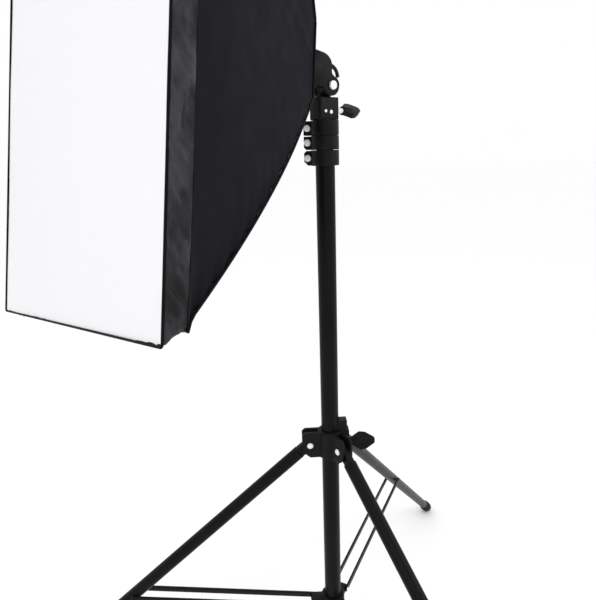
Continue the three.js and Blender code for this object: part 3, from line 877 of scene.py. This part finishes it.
def binding():
    """Black tape that wraps the front edge."""
    ring = outline(HALF_W - UNDER, HALF_H - UNDER, 0.003, 0.006)
    path = [BOX @ (p + Vector((0, 0.0005 - FRONT, 0))) for p in ring]
    added(swept("front_binding", path, 0.0010, BINDING, 10, closed=True), "softbox")


def side_tapes():
    """Black tape down the two long sides of the front."""
    rows = 60
    depth = FRONT - 0.0004
    for n, side in enumerate((-1, 1), 1):
        inner = side * (HALF_W - 0.0030)
        outer = side * (HALF_W - UNDER)
        verts = []
        for i in range(rows + 1):
            z = (HALF_H - 2 * UNDER) * (2 * i / rows - 1)
            wander = 0.0005 * fold(side, 0, z * 18)
            verts.append(BOX @ Vector((inner + wander, -depth, z)))
            verts.append(BOX @ Vector((outer, -depth, z)))
        obj = new_object(f"side_tape_{n}", verts, grid_faces(rows, 1), BINDING)
        thicken(obj, 0.0008)
        added(obj, "softbox")


def rear_hem():
    """The taped edge of the opening round the lamp holder."""
    depth, k = seam(0)
    ring = outline(HALF_W * k, HALF_H * k, 0.003, 0.004)
    path = [BOX @ (p + Vector((0, -depth, 0))) for p in ring]
    added(swept("rear_hem", path, 0.0016, BINDING, 10, closed=True), "softbox")


def seam_piping():
    steps = 48
    for n, (sx, sz) in enumerate(CORNERS, 1):
        path = []
        for i in range(steps + 1):
            u = i / steps
            depth, k = seam(u)
            p = Vector((sx * HALF_W * k, -depth, sz * HALF_H * k))
            path.append(BOX @ (p + tucked(p, k, seam_tuck(u))))
        added(swept(f"seam_piping_{n}", path, 0.0014, BINDING, 10), "softbox")


def rods():
    steps = 40
    for n, (sx, sz) in enumerate(CORNERS, 1):
        path = []
        for i in range(steps + 1):
            depth, radius = bezier(ROD, i / steps)
            k = radius / CORNER
            path.append(BOX @ Vector((sx * HALF_W * k, -depth, sz * HALF_H * k)))
        obj = swept(f"rod_{n}_shape", path, ROD_RADIUS, SPRUNG, 16)
        stand_for(obj, f"rod_{n}")


def fabric_box():
    panel("panel_right", True, 1)
    panel("panel_left", True, -1)
    panel("panel_top", False, 1)
    panel("panel_bottom", False, -1)
    edge_band()
    diffuser()
    binding()
    side_tapes()
    rear_hem()
    seam_piping()
    rods()


# ---------------------------------------------------------------------- stage


def backdrop():
    """A pale flat floor that reaches far past the stand."""
    mat = bpy.data.materials.new("backdrop")
    mat.use_nodes = True
    shader = mat.node_tree.nodes["Principled BSDF"]
    shader.inputs["Base Color"].default_value = (0.985, 0.985, 0.985, 1)
    shader.inputs["Roughness"].default_value = 0.9
    reach = 30.0
    corners = [(-reach, -reach, 0), (reach, -reach, 0), (reach, reach, 0), (-reach, reach, 0)]
    new_object("backdrop", corners, [(0, 1, 2, 3)], mat)


def area_light(name, place, target, extent, watts):
    data = bpy.data.lights.new(name, "AREA")
    data.shape = "RECTANGLE"
    data.size, data.size_y = extent
    data.energy = watts
    light = bpy.data.objects.new(name, data)
    bpy.context.scene.collection.objects.link(light)
    light.location = place
    light.rotation_euler = (Vector(target) - Vector(place)).to_track_quat("-Z", "Y").to_euler()


def studio():
    scene = bpy.context.scene
    scene.view_settings.view_transform = "Standard"
    world = bpy.data.worlds.new("studio")
    scene.world = world
    world.use_nodes = True
    world.node_tree.nodes["Background"].inputs["Color"].default_value = (1, 1, 1, 1)
    world.node_tree.nodes["Background"].inputs["Strength"].default_value = 1.0
    middle = AXIS + Vector((0, -0.1, 0.8))
    area_light("key", middle + Vector((1.2, -2.2, 1.6)), middle, (1.6, 1.6), 9)
    area_light("rim", middle + Vector((2.0, 1.6, 1.2)), middle, (0.8, 1.8), 14)


backdrop()
studio()
stand()
head()
lamp()
fabric_box()
